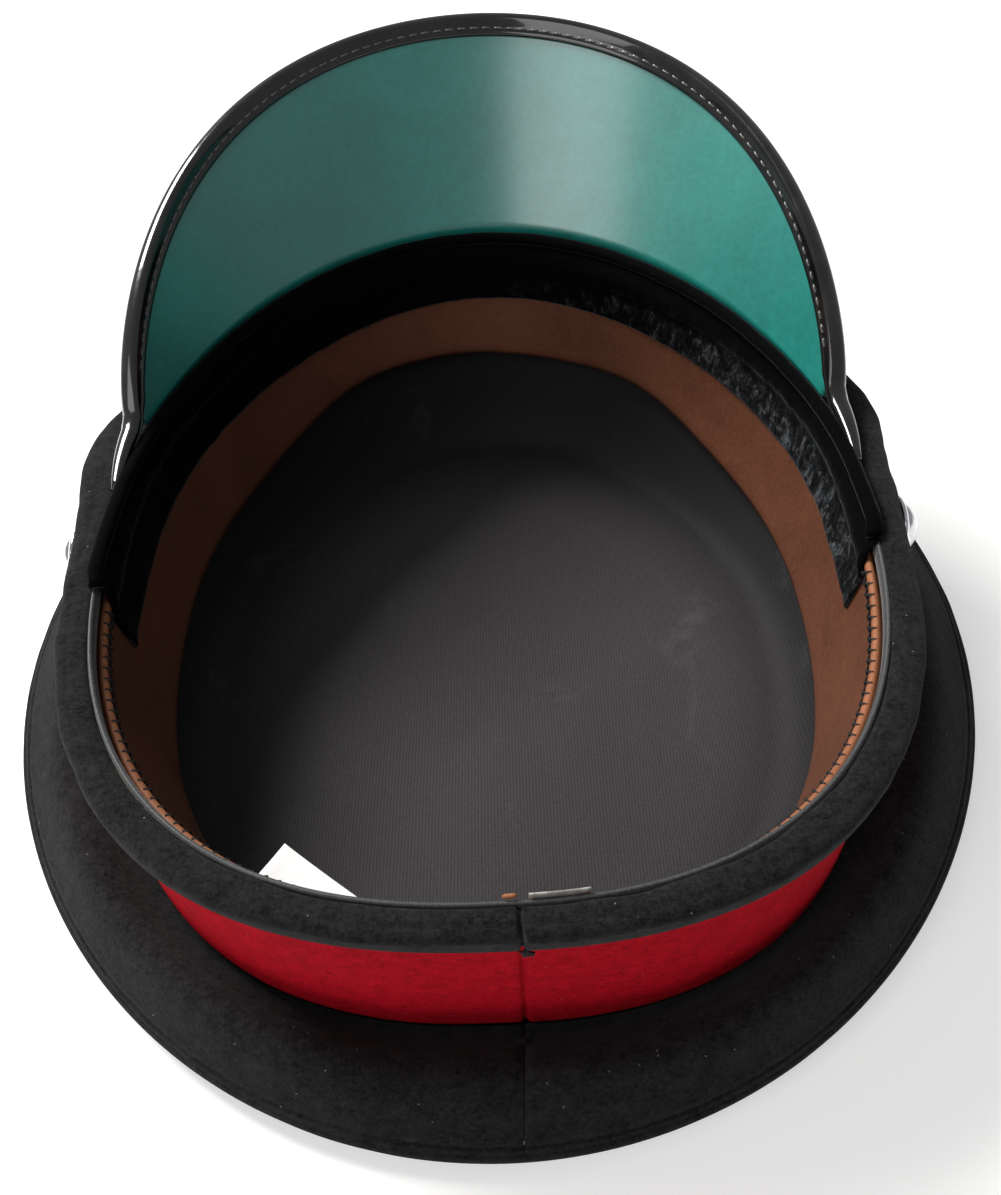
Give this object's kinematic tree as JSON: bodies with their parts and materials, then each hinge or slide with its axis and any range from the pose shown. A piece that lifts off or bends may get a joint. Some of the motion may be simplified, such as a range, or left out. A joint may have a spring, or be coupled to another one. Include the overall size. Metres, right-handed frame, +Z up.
{
  "type": "military peaked cap",
  "caption": "Peaked uniform cap with a wide wired crown, stiff band, leather sweatband, sloping peak and a chin strap on two side buttons, lying crown down.",
  "frame": {"origin": "centre of the crown's flat top, where the cap rests crown down on a table", "axes": "+Z up from the table, out of the head opening; +Y towards the peak; +X to the right seen from behind the cap as it lies"},
  "size_m": [0.2484, 0.2724, 0.1251],
  "materials": {
    "black_wool": "felted wool cloth",
    "red_wool": "felted wool cloth",
    "crepe_lining": "fine crepe twill",
    "wadding": "soft wadding",
    "buckram": "stiffened cotton",
    "board": "pressed fibre board",
    "grey_tape": "smooth woven tape",
    "brown_leather": "smooth, satin",
    "tan_reed": "rolled, satin",
    "black_velvet": "short pile",
    "green_leather": "fine grain, satin",
    "patent_leather": "patent, high gloss",
    "button_metal": "polished",
    "pin_brass": "plain",
    "spring_steel": "drawn wire",
    "paper": "card"
  },
  "bodies": {
    "cap": {"crown_top": "black_wool", "crown_side_left": "black_wool", "crown_side_right": "black_wool", "crown_welt": "black_wool", "crown_wire": "spring_steel", "crown_padding": "wadding", "crown_lining": "crepe_lining", "front_stiffener": "buckram", "band_core": "board", "red_band": "red_wool", "rim_strip": "black_wool", "rim_tape": "grey_tape", "sweatband": "brown_leather", "sweatband_reed": "tan_reed", "velvet_shield": "black_velvet", "velvet_bead": "black_velvet", "peak_core": "board", "peak_skin": "patent_leather", "peak_lining": "green_leather", "peak_binding": "patent_leather", "side_button_left": "button_metal", "side_button_right": "button_metal", "button_pin_left": "pin_brass", "button_pin_right": "pin_brass", "paper_tag": "paper"},
    "strap": {"strap_left": "patent_leather", "strap_right": "patent_leather"},
    "left_keeper": {"keeper_left": "patent_leather"},
    "right_keeper": {"keeper_right": "patent_leather"}
  },
  "joints": [
    {"name": "strap_swing", "type": "hinge", "parent": "cap", "child": "strap", "pos_m": [0, -0.01617, 0.0532], "axis": [1, 0, 0], "range_deg": [-6, 0]},
    {"name": "left_keeper_slide", "type": "hinge", "parent": "strap", "child": "left_keeper", "pos_m": [0, 0.02709, 0.05584], "axis": [0, -0.061, 0.9981], "range_deg": [-4, 4]},
    {"name": "right_keeper_slide", "type": "hinge", "parent": "strap", "child": "right_keeper", "pos_m": [0, 0.02709, 0.05584], "axis": [0, -0.061, 0.9981], "range_deg": [-4, 4]}
  ]
}
